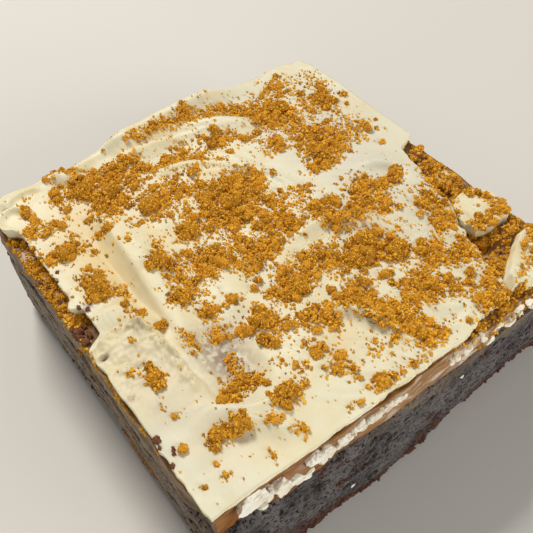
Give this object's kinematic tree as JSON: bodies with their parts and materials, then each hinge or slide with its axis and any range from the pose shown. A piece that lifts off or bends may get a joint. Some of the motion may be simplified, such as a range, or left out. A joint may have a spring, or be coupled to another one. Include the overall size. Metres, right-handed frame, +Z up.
{
  "type": "chocolate brownie",
  "caption": "Square-cut chocolate brownie: fudge base, caramel-coloured biscuit spread, swirled white chocolate top under biscuit crumbs, one broken corner.",
  "frame": {"origin": "centre of the bottom face, on the surface that the brownie rests on", "axes": "+X along the front cut face to the right, +Y from the front cut face to the back, +Z up"},
  "size_m": [0.07, 0.075, 0.027],
  "materials": {
    "fudge": "baked, matt, pitted",
    "spread": "soft, satin, smeared",
    "white_chocolate": "set, satin",
    "biscuit": "baked, crumbly, matt"
  },
  "bodies": {
    "root": {"fudge_base": "fudge", "spread_layer": "spread", "white_shell": "white_chocolate", "corner_chip": "white_chocolate", "shard_back": "white_chocolate", "shard_front": "white_chocolate", "shard_small": "white_chocolate", "biscuit_left": "biscuit", "biscuit_right_low": "biscuit", "biscuit_right_high": "biscuit", "biscuit_back": "biscuit"}
  },
  "joints": []
}
